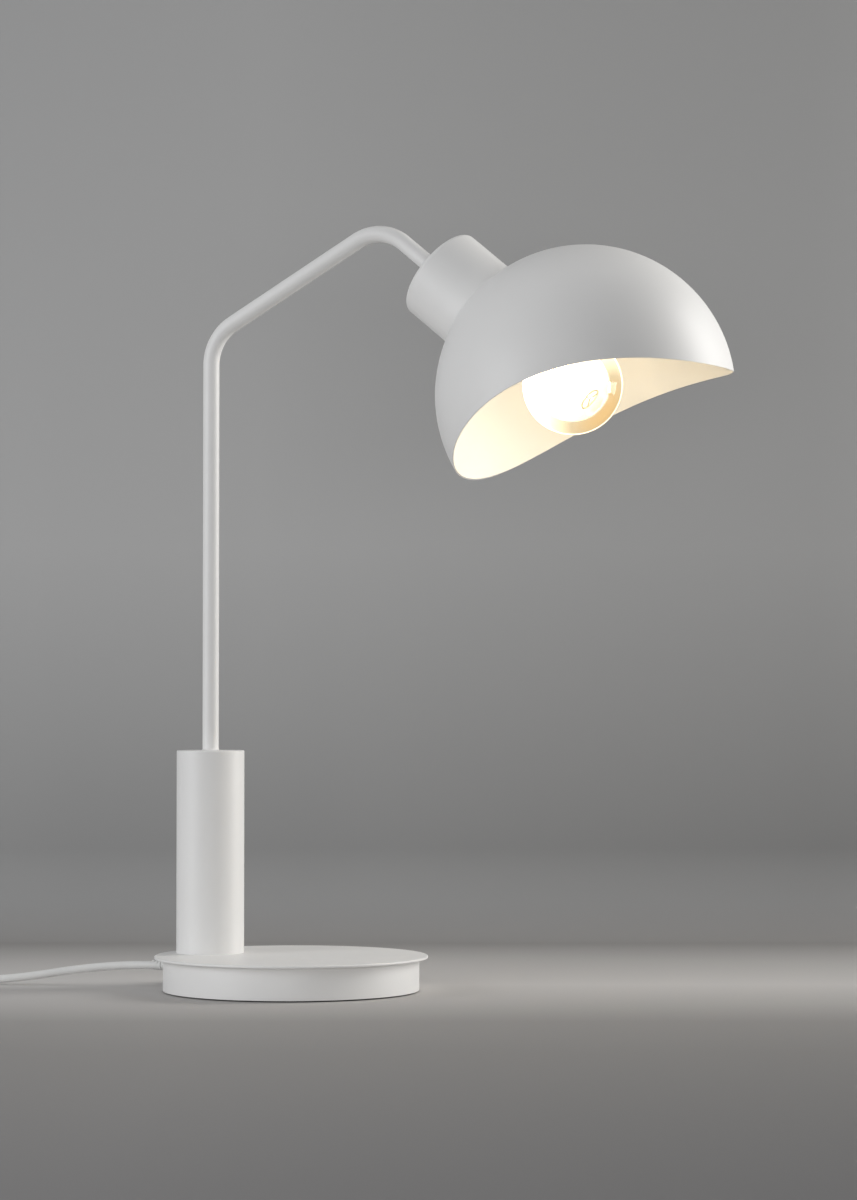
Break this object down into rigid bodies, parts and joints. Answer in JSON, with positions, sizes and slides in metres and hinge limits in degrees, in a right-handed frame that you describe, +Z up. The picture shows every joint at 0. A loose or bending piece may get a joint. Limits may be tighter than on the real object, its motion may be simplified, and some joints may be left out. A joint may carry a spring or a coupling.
{
  "type": "desk lamp",
  "caption": "Desk lamp with a round weighted base, a thick post, a thin bent tube arm and a white dome shade with a curved rim over a globe bulb.",
  "frame": {"origin": "centre of the base's resting face, on the table", "axes": "+Z up, the arm leans towards +X and the cord leaves towards -X; post, arm, neck and shade lie in the plane y = 0"},
  "size_m": [0.7256, 0.3034, 0.5571],
  "materials": {
    "white_paint": "matte",
    "zinc_steel": "satin",
    "cast_weight": "rough",
    "brass": "satin",
    "nickel_cap": "satin",
    "clear_glass": "clear",
    "black_plastic": "matte",
    "white_plastic": "satin",
    "grey_plastic": "matte",
    "white_cord": "satin",
    "foam_rubber": "matte",
    "ceramic": "matte",
    "blue_insulation": "satin",
    "brown_insulation": "satin",
    "black_glass": "gloss",
    "filament_glow": "matte"
  },
  "bodies": {
    "base": {"base_plate": "white_paint", "base_drum": "white_paint", "ballast": "cast_weight", "plate_standoffs": "zinc_steel", "bottom_cover": "zinc_steel", "foot_pad": "foam_rubber", "base_screws": "zinc_steel", "cord_clip": "white_plastic", "terminal_block": "white_plastic", "terminal_screws": "brass", "inner_screws": "zinc_steel", "cord_gland": "white_plastic", "cord_inner": "white_cord", "mains_cores": "brown_insulation", "post_sleeve": "white_paint", "post_top_guide": "grey_plastic", "post_foot_plug": "zinc_steel", "tie_rod": "zinc_steel", "tie_washer": "zinc_steel", "tie_nut": "zinc_steel", "arm_tube": "white_paint", "wire_live": "brown_insulation", "wire_neutral": "blue_insulation", "thrust_washer": "grey_plastic", "head_nipple": "zinc_steel", "friction_washer": "grey_plastic", "spring_washer": "zinc_steel", "stop_washer": "zinc_steel", "clamp_nut": "zinc_steel", "holder_spacer": "zinc_steel", "holder_cap": "black_plastic", "holder_body": "black_plastic", "holder_core": "ceramic", "thread_shell": "brass", "centre_contact": "brass", "holder_terminals": "brass", "cord_lead": "white_cord", "cord_tail": "white_cord", "cord_coil": "white_cord", "cord_tie": "white_plastic", "cord_end": "white_cord", "switch_lower_shell": "white_plastic", "switch_upper_shell": "white_plastic", "switch_screws": "zinc_steel", "switch_contacts": "brass", "rocker_pin": "zinc_steel", "plug_body": "white_plastic", "plug_pins": "brass"},
    "shade": {"shade_dome": "white_paint", "neck_cup": "white_paint", "joining_ring": "white_paint", "stop_pin": "zinc_steel"},
    "bulb": {"bulb_glass": "clear_glass", "bulb_cap": "nickel_cap", "bulb_insulator": "black_glass", "bulb_contact": "brass", "bulb_stem": "clear_glass", "filament_frame": "zinc_steel", "filaments": "filament_glow"},
    "rocker": {"switch_rocker": "white_plastic"}
  },
  "joints": [
    {"name": "shade_swivel", "type": "hinge", "parent": "base", "child": "shade", "pos_m": [0.23114, 0, 0.42748], "axis": [0.7716, 0, -0.6361], "range_deg": [-160, 160]},
    {"name": "bulb_removal", "type": "slide", "parent": "base", "child": "bulb", "axis": [0.7716, 0, -0.6361], "range_m": [0, 0.16]},
    {"name": "rocker_tilt", "type": "hinge", "parent": "base", "child": "rocker", "pos_m": [-0.32369, -0.07654, 0.0155], "axis": [0.3846, -0.9231, 0], "range_deg": [0, 16]}
  ]
}
